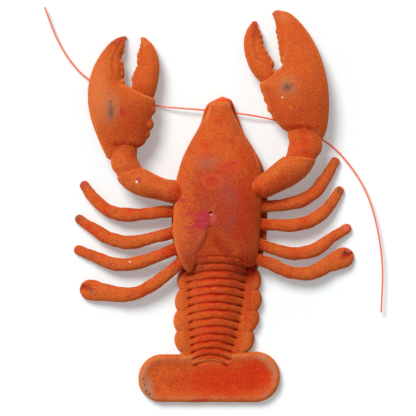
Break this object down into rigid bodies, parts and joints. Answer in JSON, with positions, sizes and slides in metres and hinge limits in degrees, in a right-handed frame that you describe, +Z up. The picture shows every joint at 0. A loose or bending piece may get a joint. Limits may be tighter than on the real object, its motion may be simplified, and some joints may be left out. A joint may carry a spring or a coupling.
{
  "type": "flocked toy lobster",
  "caption": "Life-size flocked toy lobster lying flat: domed shell, ribbed tail with a round-ended fan, open claws, tube legs and long plastic feelers.",
  "frame": {"origin": "on the floor under the middle of the whole toy", "axes": "+X to the toy's right claw side as seen from above with the head up, +Y towards the head, +Z up from the floor"},
  "size_m": [0.3049, 0.3546, 0.0465],
  "materials": {
    "flock": "orange velvet flock over moulded vinyl",
    "filament": "coral red plastic filament"
  },
  "bodies": {
    "root": {"carapace": "flock", "belly": "flock", "tail": "flock", "tail_fan": "flock", "arm_left": "flock", "arm_right": "flock", "wrist_left": "flock", "wrist_right": "flock", "claw_left": "flock", "claw_right": "flock", "thumb_left": "flock", "thumb_right": "flock", "leg_left_1": "flock", "leg_left_2": "flock", "leg_left_3": "flock", "leg_left_4": "flock", "leg_right_1": "flock", "leg_right_2": "flock", "leg_right_3": "flock", "leg_right_4": "flock", "feeler_left": "filament", "feeler_right": "filament"}
  },
  "joints": []
}
